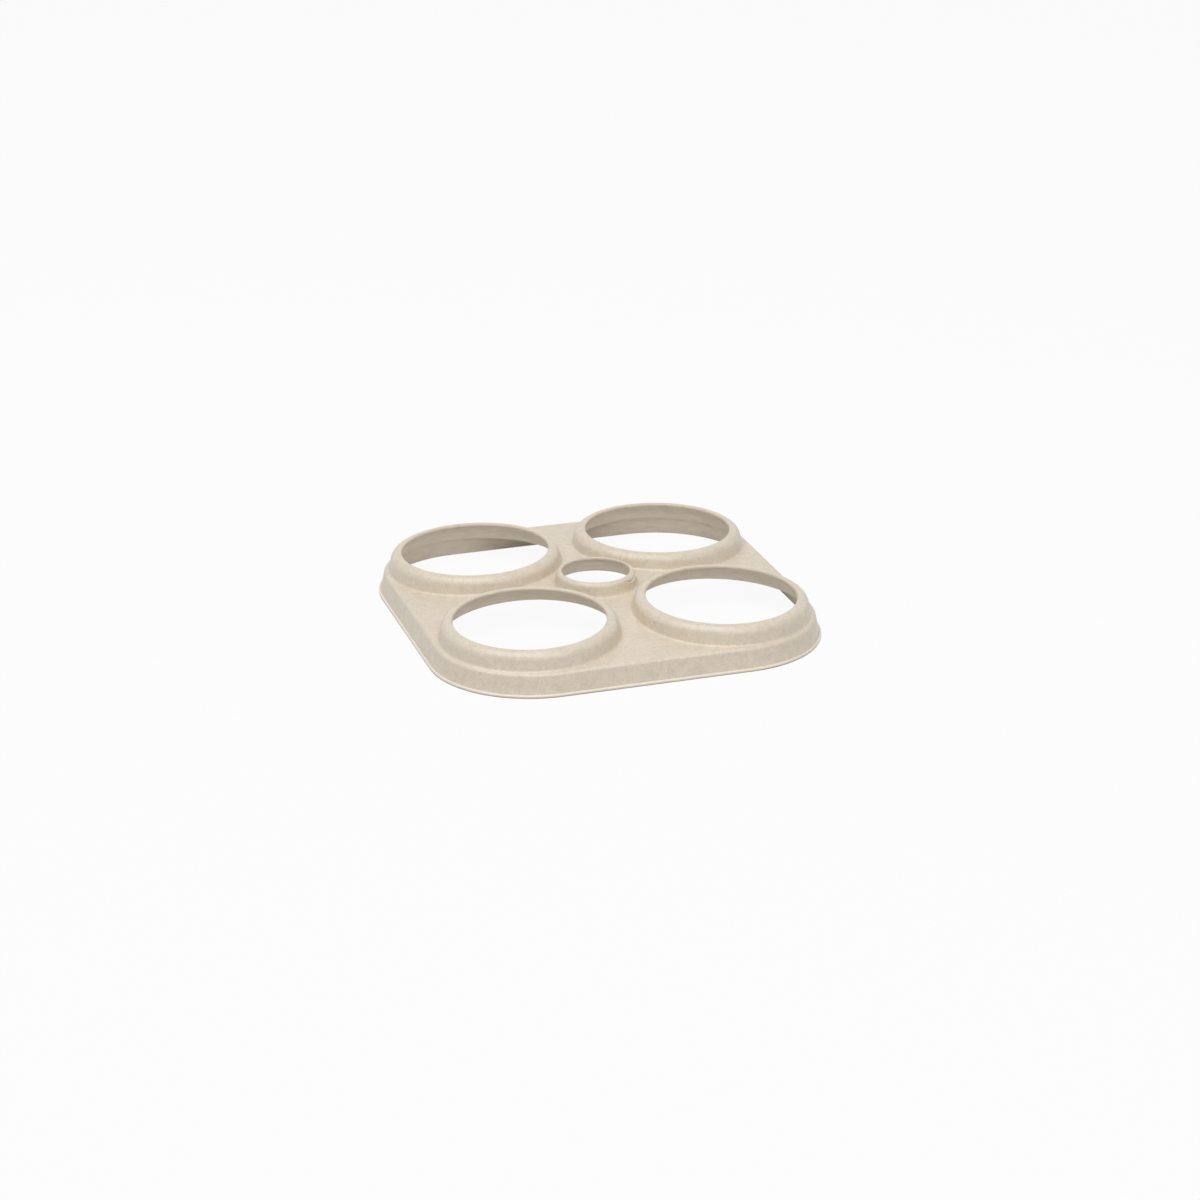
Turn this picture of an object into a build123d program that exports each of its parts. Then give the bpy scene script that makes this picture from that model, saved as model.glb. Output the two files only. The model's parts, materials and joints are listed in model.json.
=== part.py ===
from build123d import *
import os
from math import asin, cos, radians, sin, sqrt, tan

os.makedirs("parts", exist_ok=True)

# Carrier ring for four drinks cans, moulded from plant fibre in one thin skin.
# It stands on the lip at the foot of its skirt, with its centre on the Z axis.

# The four cans that it carries, side by side in a square, and the hole that grips each neck
can_body_diameter = 66.2
can_gap = 2.3
neck_step = 7.1

# The skin is about equally thick all over
wall = 1.0

# The tray is a rounded square with sloping sides. Its deck is domed and levels out at the brim:
# bulge_start and bulge_end are shares of the way out to the corners
deck_height = 10.2
deck_bulge = 2.55
bulge_start = 0.4
bulge_end = 0.7
skirt_draft = 12.0
brim_radius = 1.3
corner_ease = 0.95

# A small lip runs round the foot of the skirt, and inside it the skin turns outward
lip_width = 0.55
lip_height = 1.0
lip_radius = 0.4
inner_foot_radius = 0.9

# Each hole is at the top of a raised ring, and all the tops follow one flatter dome
ring_height = 4.9
ring_curve_radius = 2330.0
ring_wall_lean = 12.0
ring_foot_radius = 1.0

# From hole to wall, a ring has a narrow land and a rounded shoulder
can_ring_land = 0.9
can_ring_shoulder_radius = 3.3
finger_ring_land = 0.2
finger_ring_shoulder_radius = 1.9

# Deck left between a can ring and the brim, and between a can ring and the finger ring
ledge_width = 1.525
web_width = 2.81


def ring_spread(land, shoulder_radius, drop):
    """How far a ring's wall stands out from the edge of its hole, this far below the top."""
    lean = radians(ring_wall_lean)
    return land + shoulder_radius * cos(lean) + (drop - shoulder_radius * (1 - sin(lean))) * tan(lean)


# Places of the cans, and the heights of the brim and of the ring tops
can_pitch = can_body_diameter + can_gap
can_reach = can_pitch / sqrt(2)
can_bearings = [45, 135, 225, 315]
can_hole_diameter = can_body_diameter - 2 * neck_step
brim_height = deck_height - deck_bulge
ring_crown = deck_height + ring_height
ring_depth = ring_height + deck_bulge
can_top_height = ring_crown - can_reach**2 / (2 * ring_curve_radius)

# Outline: each can ring, then the ledge, the slope of the skirt and the lip
can_spread = ring_spread(can_ring_land, can_ring_shoulder_radius, can_top_height - brim_height)
can_ring_radius = can_hole_diameter / 2 + can_spread
skirt_reach = can_ring_radius + ledge_width + brim_height * tan(radians(skirt_draft)) + lip_width
side_length = can_pitch + 2 * skirt_reach
corner_radius = skirt_reach + corner_ease
corner_reach = (side_length / 2 - corner_radius) * sqrt(2) + corner_radius

# The finger hole takes what is left in the middle
finger_spread = ring_spread(finger_ring_land, finger_ring_shoulder_radius, ring_height)
finger_hole_diameter = 2 * (can_reach - can_ring_radius - web_width - finger_spread)


def ring_top(bearing, reach):
    """Plane across the top of a ring: it leans outward with the dome that the tops follow."""
    lean = asin(reach / ring_curve_radius)
    outward = Vector(cos(radians(bearing)), sin(radians(bearing)), 0)
    around = Vector(-sin(radians(bearing)), cos(radians(bearing)), 0)
    axis = outward * sin(lean) + Vector(0, 0, cos(lean))
    dome_centre = Vector(0, 0, ring_crown - ring_curve_radius)
    return Plane(origin=dome_centre + axis * ring_curve_radius, x_dir=around, z_dir=axis)


# Top plane, hole radius, land and shoulder radius of each ring
rings = [
    (ring_top(bearing, can_reach), can_hole_diameter / 2, can_ring_land, can_ring_shoulder_radius)
    for bearing in can_bearings
]
rings.append((ring_top(0, 0), finger_hole_diameter / 2, finger_ring_land, finger_ring_shoulder_radius))


def moulded_form(inset):
    """The solid form whose skin lies this far inside the outer one."""
    sideways = inset / cos(radians(skirt_draft))
    foot_side = side_length - 2 * lip_width - 2 * sideways
    foot_corner = corner_radius - lip_width - sideways
    crown = deck_height - inset
    brim = brim_height - inset
    with BuildPart() as form:
        # Skirt and deck: a tapered block, cut off by the dome. The roundings of brim and feet change by
        # only half the inset, because the ledge that they share at the corners is narrow
        with BuildSketch():
            RectangleRounded(foot_side, foot_side, foot_corner)
        extrude(amount=deck_height, taper=skirt_draft)
        with BuildSketch(Plane.XZ):
            with BuildLine():
                Bezier(
                    (0, crown),
                    (bulge_start * corner_reach, crown),
                    (bulge_end * corner_reach, brim),
                    (corner_reach, brim),
                )
                Polyline((corner_reach, brim), (corner_reach, 0), (0, 0), (0, crown))
            make_face()
        revolve(axis=Axis.Z, mode=Mode.INTERSECT)
        deck_face = form.faces().sort_by(Axis.Z)[-1]
        fillet(deck_face.outer_wire().edges(), brim_radius - inset / 2)

        # Raised rings: a rounded shoulder over a leaning wall that runs down into the deck
        lean = radians(ring_wall_lean)
        for top, hole_radius, land, shoulder_radius in rings:
            shoulder = shoulder_radius - inset
            arc_x = hole_radius + land
            wall_top = (arc_x + shoulder * cos(lean), shoulder * sin(lean) - shoulder_radius)
            wall_foot = (wall_top[0] + (wall_top[1] + ring_depth) * tan(lean), -ring_depth)
            with BuildSketch(Plane(origin=top.origin, x_dir=top.x_dir, z_dir=-top.y_dir)):
                with BuildLine():
                    CenterArc((arc_x, -shoulder_radius), shoulder, ring_wall_lean, 90 - ring_wall_lean)
                    Polyline((arc_x, -inset), (0, -inset), (0, -ring_depth), wall_foot, wall_top)
                make_face()
            revolve(axis=Axis(top.origin, top.z_dir))

        # Foot of the rings: the lower edges of their walls, without the seam
        feet = ShapeList()
        for wall_face in form.faces().filter_by(GeomType.CONE):
            if wall_face.bounding_box().max.Z > deck_height:
                feet += wall_face.edges().filter_by(GeomType.LINE, reverse=True).sort_by(Axis.Z)[:-1]
        fillet(feet, ring_foot_radius + inset / 2)
    return form.part


outer_form = moulded_form(0)
inner_form = moulded_form(wall)

with BuildPart() as carrier_ring:
    # Lip, and the moulded skin above it
    with BuildSketch():
        RectangleRounded(side_length, side_length, corner_radius)
    extrude(amount=lip_height)
    fillet(carrier_ring.faces().sort_by(Axis.Z)[-1].edges(), lip_radius)
    add(outer_form)
    add(inner_form, mode=Mode.SUBTRACT)
    fillet(carrier_ring.faces().sort_by(Axis.Z)[0].inner_wires()[0].edges(), inner_foot_radius)

    # Holes, cut square to each ring's own top
    for top, hole_radius, land, shoulder_radius in rings:
        with BuildSketch(top):
            Circle(hole_radius)
        extrude(amount=-ring_depth, mode=Mode.SUBTRACT)

carrier_ring.part.label = "carrier_ring"
export_step(carrier_ring.part, "parts/carrier_ring.step")
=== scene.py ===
import json
import math

import bpy
from mathutils import Matrix, Vector

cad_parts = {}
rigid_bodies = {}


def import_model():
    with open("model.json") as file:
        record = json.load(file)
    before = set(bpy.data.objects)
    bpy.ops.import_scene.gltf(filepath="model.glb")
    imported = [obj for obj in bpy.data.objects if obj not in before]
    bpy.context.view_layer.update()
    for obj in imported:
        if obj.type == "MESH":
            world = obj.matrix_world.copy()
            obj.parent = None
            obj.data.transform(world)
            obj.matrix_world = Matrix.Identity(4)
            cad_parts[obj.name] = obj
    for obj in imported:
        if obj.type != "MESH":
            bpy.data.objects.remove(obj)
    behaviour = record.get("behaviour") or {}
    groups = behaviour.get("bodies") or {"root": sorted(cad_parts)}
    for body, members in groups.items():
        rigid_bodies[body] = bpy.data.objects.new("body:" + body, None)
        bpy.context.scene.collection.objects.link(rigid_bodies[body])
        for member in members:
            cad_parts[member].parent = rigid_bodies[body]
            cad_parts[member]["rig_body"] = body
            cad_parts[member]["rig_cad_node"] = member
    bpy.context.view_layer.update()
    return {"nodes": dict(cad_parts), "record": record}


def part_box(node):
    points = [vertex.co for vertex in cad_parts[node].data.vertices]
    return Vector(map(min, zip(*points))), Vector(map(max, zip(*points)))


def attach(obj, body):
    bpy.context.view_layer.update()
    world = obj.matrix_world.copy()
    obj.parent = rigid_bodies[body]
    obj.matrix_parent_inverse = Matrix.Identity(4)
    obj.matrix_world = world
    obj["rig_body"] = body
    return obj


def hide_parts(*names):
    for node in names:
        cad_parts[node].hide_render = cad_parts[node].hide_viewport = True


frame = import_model()
print("frame loaded")

scene = bpy.context.scene
scene.view_settings.view_transform = "Standard"

# Where things are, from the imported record: the ring's top, and each hole's top, axis and radius
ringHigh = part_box("carrier_ring")[1]
mounts = {mount["name"]: mount for mount in frame["record"]["mounts"]}
holes = []
for mount in mounts.values():
    if mount["kind"] == "bore":
        axis = Vector(mount["axis"]).normalized()
        top = Vector(mount["pos_m"]) + axis * mount["dims"]["length_mm"] / 2000
        holes.append((top, axis, mount["dims"]["r_mm"] / 1000))
canHole = mounts["can_hole_front_left"]
canReach = abs(canHole["pos_m"][0])
canRadius = canHole["dims"]["r_mm"] / 1000
fingerHole = mounts["finger_hole"]
fingerRadius = fingerHole["dims"]["r_mm"] / 1000
fingerTop = fingerHole["pos_m"][2] + fingerHole["dims"]["length_mm"] / 2000


# Shader helpers: a socket that does maths, and one call for every other node

class Sock:
    def __init__(self, tree, out):
        self.tree = tree
        self.out = out

    def maths(self, operation, other, swap=False, clamp=False):
        node = self.tree.nodes.new("ShaderNodeMath")
        node.operation = operation
        node.use_clamp = clamp
        sides = (other, self) if swap else (self, other)
        for slot, side in zip(node.inputs, sides):
            if isinstance(side, Sock):
                self.tree.links.new(side.out, slot)
            elif side is not None:
                slot.default_value = side
        return Sock(self.tree, node.outputs[0])

    def __add__(self, other): return self.maths("ADD", other)
    def __radd__(self, other): return self.maths("ADD", other)
    def __sub__(self, other): return self.maths("SUBTRACT", other)
    def __rsub__(self, other): return self.maths("SUBTRACT", other, swap=True)
    def __mul__(self, other): return self.maths("MULTIPLY", other)
    def __rmul__(self, other): return self.maths("MULTIPLY", other)
    def __truediv__(self, other): return self.maths("DIVIDE", other)
    def __pow__(self, other): return self.maths("POWER", other)
    def size(self): return self.maths("ABSOLUTE", None)
    def over(self, level): return self.maths("GREATER_THAN", level)
    def orMore(self, other): return self.maths("MAXIMUM", other)
    def clamped(self): return self.maths("ADD", 0.0, clamp=True)


def addNode(tree, kind, settings=None, **values):
    node = tree.nodes.new(kind)
    for name, setting in (settings or {}).items():
        if name == "stops":
            ramp = node.color_ramp
            for element, (place, level) in zip(ramp.elements, setting):
                element.position = place
                element.color = (level, level, level, 1)
        else:
            setattr(node, name, setting)
    for name, value in values.items():
        byNumber = name.startswith("in")  # in6 is the seventh input
        slot = node.inputs[int(name[2:])] if byNumber else node.inputs[name.replace("_", " ")]
        if isinstance(value, Sock):
            tree.links.new(value.out, slot)
        else:
            slot.default_value = value
    return node


# Moulded fibre: pale beige pulp with clouds, grain, loose fibres and a few specks

fibreLook = {
    "colour": (0.735, 0.646, 0.514, 1),
    "paleColour": (0.770, 0.682, 0.550, 1),
    "darkColour": (0.600, 0.520, 0.410, 1),
    "cloudScale": 85.0,
    "cloudStops": ((0.34, 0.0), (0.66, 1.0)),
    "mottleScale": 420.0,
    "mottleStops": ((0.44, 0.0), (0.74, 0.80)),
    "grainScale": 2300.0,
    "grainStops": ((0.46, 0.0), (0.74, 1.0)),
    "fibreScale": 700.0 / 3,
    "fibreTurns": (0.4, 1.5, 2.6),
    "fibreTilt": 0.3,
    "fibreStretch": (1.0, 7.0, 7.0),
    "fibreStops": ((0.60, 0.0), (0.72, 1.0)),
    "fibreShare": 0.40,
    "speckColour": (0.330, 0.270, 0.200, 1),
    "speckScale": 330.0,
    "speckStops": ((0.10, 1.0), (0.26, 0.0)),
    "speckRarity": 0.80,
    "speckGain": 4.0,
    "speckLoss": 3.1,
    "speckShare": 0.38,
    "cutColour": (0.600, 0.480, 0.370, 1),
    "cutWidth": 0.0009,
    "cutDepth": 0.0035,  # below the highest rim, so that all rims are in it
    "cutShare": 0.45,
    # Painted highlight on the lip at the foot
    "lipColour": (0.880, 0.805, 0.690, 1),
    "lipHeight": 0.00108,
    "lipHighlightShare": 0.8,
    # Painted shade along the lip's trimmed lower edge, where its underside is in shadow
    "trimColour": (0.420, 0.330, 0.240, 1),
    "trimHeight": 0.00032,
    "trimShadeShare": 0.7,
    # Painted light: the inside faces are painted paler than the outer pulp; the streaks are their own,
    # but their colour is painted paler too
    "insidePaintedLight": (0.880, 0.788, 0.654, 1),
    "insideDark": (0.755, 0.666, 0.540, 1),
    "insideScale": 200.0,
    "insideTurn": (0.25, 0.2, 0.0),
    "insideStretch": (1.0, 1.0, 4.5),
    "insideStops": ((0.42, 0.0), (0.66, 1.0)),
    "insideLightShare": 0.75,
    "insideEdge": 6.0,  # how soon a face that turns down counts as inside
    "roughness": 0.42,
    "insideRoughness": 0.35,
    "grainSheen": 0.06,
    "specular": 0.95,
    "bump": 0.00014,
    "bumpStrength": 0.45,
    "mottleRelief": 0.5,
    "grainRelief": 0.35,
    "fibreRelief": 0.35,
    "streakRelief": 1.2,
}


def fibreMaterial(name, look):
    material = bpy.data.materials.new(name)
    material.use_nodes = True
    tree = material.node_tree
    tree.nodes.clear()
    place = Sock(tree, addNode(tree, "ShaderNodeTexCoord").outputs["Object"])

    def noise(scale, detail, roughness, vector=place):
        node = addNode(
            tree, "ShaderNodeTexNoise", Vector=vector, Scale=scale, Detail=detail, Roughness=roughness
        )
        return Sock(tree, node.outputs["Fac"])

    def stretched(turn, stretch):
        node = addNode(tree, "ShaderNodeMapping", Vector=place, Rotation=turn, Scale=stretch)
        return Sock(tree, node.outputs[0])

    def ramp(value, stops):
        node = addNode(tree, "ShaderNodeValToRGB", {"stops": stops}, Fac=value)
        return Sock(tree, node.outputs["Color"])

    def blend(first, second, factor):
        node = addNode(tree, "ShaderNodeMix", {"data_type": "RGBA"}, in0=factor, in6=first, in7=second)
        return Sock(tree, node.outputs[2])

    clouds = noise(look["cloudScale"], 4.0, 0.6)
    mottle = noise(look["mottleScale"], 5.0, 0.65)
    grain = noise(look["grainScale"], 3.0, 0.6)

    # Loose fibres: noise drawn out along three directions
    fibres = None
    for turn in look["fibreTurns"]:
        along = stretched((0.5 * turn, look["fibreTilt"], turn), look["fibreStretch"])
        strands = ramp(noise(look["fibreScale"], 2.0, 0.5, along), look["fibreStops"])
        fibres = strands if fibres is None else fibres.orMore(strands)

    # Specks of darker fibre, few and of uneven size
    cells = addNode(
        tree, "ShaderNodeTexVoronoi", {"feature": "F1"}, Vector=place, Scale=look["speckScale"]
    )
    cellColour = Sock(tree, cells.outputs["Color"])
    rarity = Sock(tree, addNode(tree, "ShaderNodeSeparateColor", Color=cellColour).outputs[0])
    spots = ramp(Sock(tree, cells.outputs["Distance"]), look["speckStops"])
    strength = rarity * look["speckGain"] - look["speckLoss"]
    specks = (rarity.over(look["speckRarity"]) * spots * strength).clamped()

    # The cut edge round each hole, from its distance to the hole's centre
    parts = addNode(tree, "ShaderNodeSeparateXYZ", Vector=place)
    x, y, z = (Sock(tree, parts.outputs[i]) for i in range(3))
    acrossX = x.size() - canReach
    acrossY = y.size() - canReach
    fromCan = (acrossX * acrossX + acrossY * acrossY) ** 0.5
    fromFinger = (x * x + y * y) ** 0.5
    canEdge = 1 - ((fromCan - canRadius) / look["cutWidth"]).clamped()
    fingerEdge = 1 - ((fromFinger - fingerRadius) / look["cutWidth"]).clamped()
    cut = canEdge.orMore(fingerEdge) * z.over(ringHigh.z - look["cutDepth"])

    colour = blend(look["colour"], look["paleColour"], ramp(clouds, look["cloudStops"]))
    colour = blend(colour, look["darkColour"], ramp(mottle, look["mottleStops"]))
    colour = blend(colour, look["paleColour"], fibres * look["fibreShare"])
    colour = blend(colour, look["darkColour"], ramp(grain, look["grainStops"]))
    colour = blend(colour, look["speckColour"], specks * look["speckShare"])
    colour = blend(colour, look["cutColour"], cut * look["cutShare"])

    # Painted highlight: the lip at the foot is painted paler where its top catches the light. Painted
    # shade: its trimmed lower edge is painted darker where its underside is in shadow
    lip = 1 - z.over(look["lipHeight"])
    # Painted shade: the band under the lip is painted darker
    trim = 1 - z.over(look["trimHeight"])
    colour = blend(colour, look["lipColour"], lip * look["lipHighlightShare"])
    colour = blend(colour, look["trimColour"], trim * look["trimShadeShare"])

    # The inside, which was not pressed smooth, is duller, with long soft streaks along the skin.
    # Painted light: faces that turn down, which lie in shade, are painted paler than the outer pulp,
    # streaks included
    normal = Sock(tree, addNode(tree, "ShaderNodeNewGeometry").outputs["True Normal"])
    facing = Sock(tree, addNode(tree, "ShaderNodeSeparateXYZ", Vector=normal).outputs[2])
    inside = (facing * -look["insideEdge"]).clamped()
    streaks = noise(look["insideScale"], 4.0, 0.6, stretched(look["insideTurn"], look["insideStretch"]))
    colour = blend(colour, look["insidePaintedLight"], inside * look["insideLightShare"])
    colour = blend(colour, look["insideDark"], inside * ramp(streaks, look["insideStops"]))

    height = mottle * look["mottleRelief"] + grain * look["grainRelief"] + fibres * look["fibreRelief"]
    height = height + inside * streaks * look["streakRelief"]
    bump = addNode(
        tree, "ShaderNodeBump", Strength=look["bumpStrength"], Distance=look["bump"], Height=height
    )
    shader = addNode(
        tree,
        "ShaderNodeBsdfPrincipled",
        Base_Color=colour,
        Roughness=look["roughness"] + inside * look["insideRoughness"] - grain * look["grainSheen"],
        Normal=Sock(tree, bump.outputs[0]),
    )
    shader.inputs["Specular IOR Level"].default_value = look["specular"]
    addNode(tree, "ShaderNodeOutputMaterial", Surface=Sock(tree, shader.outputs[0]))
    return material


fibre = fibreMaterial("mouldedFibre", fibreLook)
print("fibre material made")


# The skin: a merged copy of the CAD solid, with the worn edges of its holes and one small crease

skinLook = {"mergeDistance": 0.000002, "smoothAngle": math.radians(40)}

# The edge cut at each hole is worn round. Its land and its cut face get finer faces for that
edgeLook = {"radius": 0.0005, "cuts": 3, "slack": 0.00006}

# The crease's line runs round the finger ring's shoulder just below its rim
creaseLook = {
    "line": (
        (0.00660, -0.01190, 0.01425),
        (0.00709, -0.01165, 0.01405),
        (0.00796, -0.01123, 0.01387),
        (0.00888, -0.01064, 0.01353),
        (0.00988, -0.00985, 0.01318),
        (0.01045, -0.00922, 0.01318),
        (0.01113, -0.00828, 0.01349),
        (0.01191, -0.00702, 0.01367),
        (0.01261, -0.00492, 0.01430),
    ),
    "reach": 0.0011,
    "cuts": (3, 2, 1),
    "slack": 0.0002,
    "depth": 0.00038,
    "halfWidth": 0.00022,
    "fold": 0.00022,  # the raised fold below the crease
    "foldOffset": 0.00052,
    "foldHalfWidth": 0.00022,
    "knob": (0.01148, -0.00832, 0.01200),
    "knobHeight": 0.00016,
    "knobRadius": 0.00042,
}

# The finger ring's section: its land, the radius of its shoulder and the lean of its wall
fingerLook = {"land": 0.0002, "shoulder": 0.0019, "lean": math.radians(12.0)}


def selectOnly(piece):
    bpy.ops.object.select_all(action="DESELECT")
    piece.select_set(True)
    bpy.context.view_layer.objects.active = piece


def pickFaces(piece, wanted):
    # Leaves only the wanted faces selected, in edit mode
    bpy.ops.mesh.select_all(action="DESELECT")
    bpy.ops.object.mode_set(mode="OBJECT")
    for face in piece.data.polygons:
        face.select = wanted(face.center)
    bpy.ops.object.mode_set(mode="EDIT")


def besideHole(point):
    # The nearest hole, with how far the point stands out from its side and below its top
    best = None
    for top, axis, radius in holes:
        fall = (top - point).dot(axis)
        side = point - top + axis * fall
        if best is None or abs(side.length - radius) < abs(best[0]):
            best = (side.length - radius, fall, top, axis, radius, side.normalized())
    return best


def atCutEdge(point):
    out, fall = besideHole(point)[:2]
    slack, width = edgeLook["slack"], 2 * edgeLook["radius"]
    onLand = abs(fall) < slack and -slack < out < width
    onCut = abs(out) < slack and -slack < fall < width
    return onLand or onCut


def wornEdge(point):
    # A place near a hole's edge goes onto the rounding
    out, fall, top, axis, radius, side = besideHole(point)
    slack, bend = edgeLook["slack"], edgeLook["radius"]
    if not (-slack < out < bend and -slack < fall < bend):
        return point
    way = Vector((out - bend, bend - fall)).normalized() * bend
    return top + side * (radius + bend + way.x) - axis * (bend - way.y)


def creaseDistance(point):
    # How far off the crease's line is, and how high above its nearest place
    nearest = (1.0, 0.0)
    for start, end in zip(creaseLook["line"], creaseLook["line"][1:]):
        start, end = Vector(start), Vector(end)
        along = end - start
        share = min(1.0, max(0.0, (point - start).dot(along) / along.length_squared))
        offset = point - (start + along * share)
        nearest = min(nearest, (offset.length, offset.z))
    return nearest


def ringSurface(point):
    # Nearest place on the finger ring's outer side, the way out from there, and how far it is
    reach = math.hypot(point.x, point.y)
    across = reach - fingerRadius - fingerLook["land"]
    rise = point.z - fingerTop + fingerLook["shoulder"]
    lean = fingerLook["lean"]
    if rise > fingerLook["shoulder"] * math.sin(lean):
        out = Vector((across, rise)).normalized()
    else:
        out = Vector((math.cos(lean), math.sin(lean)))
    gap = out.dot(Vector((across, rise))) - fingerLook["shoulder"]
    way = Vector((point.x / reach * out.x, point.y / reach * out.x, out.y))
    return point - way * gap, way, gap


def atCrease(point):
    onRing = abs(ringSurface(point)[2]) < creaseLook["slack"]
    return onRing and creaseDistance(point)[0] < creaseLook["reach"]


def creased(point):
    # A place near the crease goes onto its profile: the fold below it, the crease and the knob
    place, way, gap = ringSurface(point)
    if abs(gap) > creaseLook["slack"] or creaseDistance(point)[0] > creaseLook["reach"]:
        return point
    distance, height = creaseDistance(place)
    out = -creaseLook["depth"] * math.exp(-((distance / creaseLook["halfWidth"]) ** 2))
    if height < 0:
        fold = (distance - creaseLook["foldOffset"]) / creaseLook["foldHalfWidth"]
        out += creaseLook["fold"] * math.exp(-(fold**2))
    knob = (place - Vector(creaseLook["knob"])).length / creaseLook["knobRadius"]
    out += creaseLook["knobHeight"] * math.exp(-(knob**2))
    return place + way * out


selectOnly(frame["nodes"]["carrier_ring"])
bpy.ops.object.duplicate()
skin = bpy.context.object
skin.name = "mouldedSkin"
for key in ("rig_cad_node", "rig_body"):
    del skin[key]
bpy.ops.object.mode_set(mode="EDIT")
bpy.ops.mesh.select_mode(type="FACE")
bpy.ops.mesh.select_all(action="SELECT")
bpy.ops.mesh.remove_doubles(threshold=skinLook["mergeDistance"])

# Finer faces round the holes and along the crease only
pickFaces(skin, atCutEdge)
bpy.ops.mesh.subdivide(number_cuts=edgeLook["cuts"])
for cuts in creaseLook["cuts"]:
    pickFaces(skin, atCrease)
    bpy.ops.mesh.subdivide(number_cuts=cuts)
bpy.ops.mesh.select_all(action="SELECT")
bpy.ops.mesh.quads_convert_to_tris(quad_method="BEAUTY", ngon_method="BEAUTY")
bpy.ops.object.mode_set(mode="OBJECT")
print("skin cut finer:", len(skin.data.polygons), "triangles")

for vertex in skin.data.vertices:
    vertex.co = creased(vertex.co)
    vertex.co = wornEdge(vertex.co)
bpy.ops.object.shade_smooth_by_angle(angle=skinLook["smoothAngle"])
skin.data.materials.clear()
skin.data.materials.append(fibre)
smooth = skin.modifiers.new("evenShading", "WEIGHTED_NORMAL")
smooth.keep_sharp = True
bpy.ops.object.modifier_apply(modifier=smooth.name)
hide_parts("carrier_ring")
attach(skin, "root")
print("skin finished")


# Floor and light

stageLook = {
    "floorSize": 6.0,
    "floorDrop": 0.0001,
    "floorColour": (0.70, 0.70, 0.70, 1),
    "floorWhiteness": 0.93,  # as the camera sees it, the rest is its shaded colour
    "ambient": 0.43,
}


def directRays(tree):
    # 1 where the camera, a reflection or a view through something looks straight at a surface
    seen = addNode(tree, "ShaderNodeLightPath")
    camera, glossy, through = (
        Sock(tree, seen.outputs[name])
        for name in ("Is Camera Ray", "Is Glossy Ray", "Is Transmission Ray")
    )
    return camera.orMore(glossy).orMore(through)


bpy.ops.object.select_all(action="DESELECT")
bpy.ops.mesh.primitive_plane_add(
    size=stageLook["floorSize"], location=(0, 0, -stageLook["floorDrop"])
)
floor = bpy.context.object
floor.name = "paleFloor"
floorMaterial = bpy.data.materials.new("paleFloor")
floorMaterial.use_nodes = True
floorTree = floorMaterial.node_tree
floorTree.nodes.clear()
matte = addNode(floorTree, "ShaderNodeBsdfDiffuse", Color=stageLook["floorColour"])
white = addNode(floorTree, "ShaderNodeEmission", Color=(1, 1, 1, 1), Strength=1.0)
mixed = addNode(
    floorTree,
    "ShaderNodeMixShader",
    Fac=directRays(floorTree) * stageLook["floorWhiteness"],
    in1=Sock(floorTree, matte.outputs[0]),
    in2=Sock(floorTree, white.outputs[0]),
)
addNode(floorTree, "ShaderNodeOutputMaterial", Surface=Sock(floorTree, mixed.outputs[0]))
floor.data.materials.append(floorMaterial)

world = bpy.data.worlds.new("paleRoom")
scene.world = world
world.use_nodes = True
worldTree = world.node_tree
worldTree.nodes.clear()
background = addNode(
    worldTree,
    "ShaderNodeBackground",
    Color=(1, 1, 1, 1),
    Strength=directRays(worldTree) * (1 - stageLook["ambient"]) + stageLook["ambient"],
)
addNode(worldTree, "ShaderNodeOutputWorld", Surface=Sock(worldTree, background.outputs[0]))

lampLook = {
    "overhead": {"place": (-0.32, -0.18, 1.08), "size": 1.2, "watts": 6.95},
    "front": {"place": (0.16, -0.78, 0.76), "size": 0.7, "watts": 2.0},
}
for name, lamp in lampLook.items():
    data = bpy.data.lights.new(name, "AREA")
    data.shape = "DISK"
    data.size = lamp["size"]
    data.energy = lamp["watts"]
    light = bpy.data.objects.new(name, data)
    scene.collection.objects.link(light)
    light.location = lamp["place"]
    light.rotation_euler = (-Vector(lamp["place"])).to_track_quat("-Z", "Y").to_euler()
print("stage and lamps set")


# The camera, at the photograph's own angle

cameraLook = {
    "azimuth": -17.608,
    "elevation": 21.904,
    "roll": -0.318,
    "place": (-0.30358, -0.96122, 0.40898),
    "lens": 92.98,
    "sensor": 36.0,
    "clipStart": 0.01,
}
across = math.radians(cameraLook["azimuth"])
up = math.radians(cameraLook["elevation"])
back = Vector((math.sin(across) * math.cos(up), -math.cos(across) * math.cos(up), math.sin(up)))
right = Vector((0, 0, 1)).cross(back).normalized()
right = Matrix.Rotation(math.radians(cameraLook["roll"]), 3, back) @ right
above = back.cross(right)
cameraData = bpy.data.cameras.new("photoCamera")
cameraData.lens = cameraLook["lens"]
cameraData.sensor_width = cameraLook["sensor"]
cameraData.clip_start = cameraLook["clipStart"]
viewer = bpy.data.objects.new("photoCamera", cameraData)
scene.collection.objects.link(viewer)
axes = Matrix((right, above, back)).transposed().to_4x4()
viewer.matrix_world = Matrix.Translation(cameraLook["place"]) @ axes
scene.camera = viewer
print("camera set")
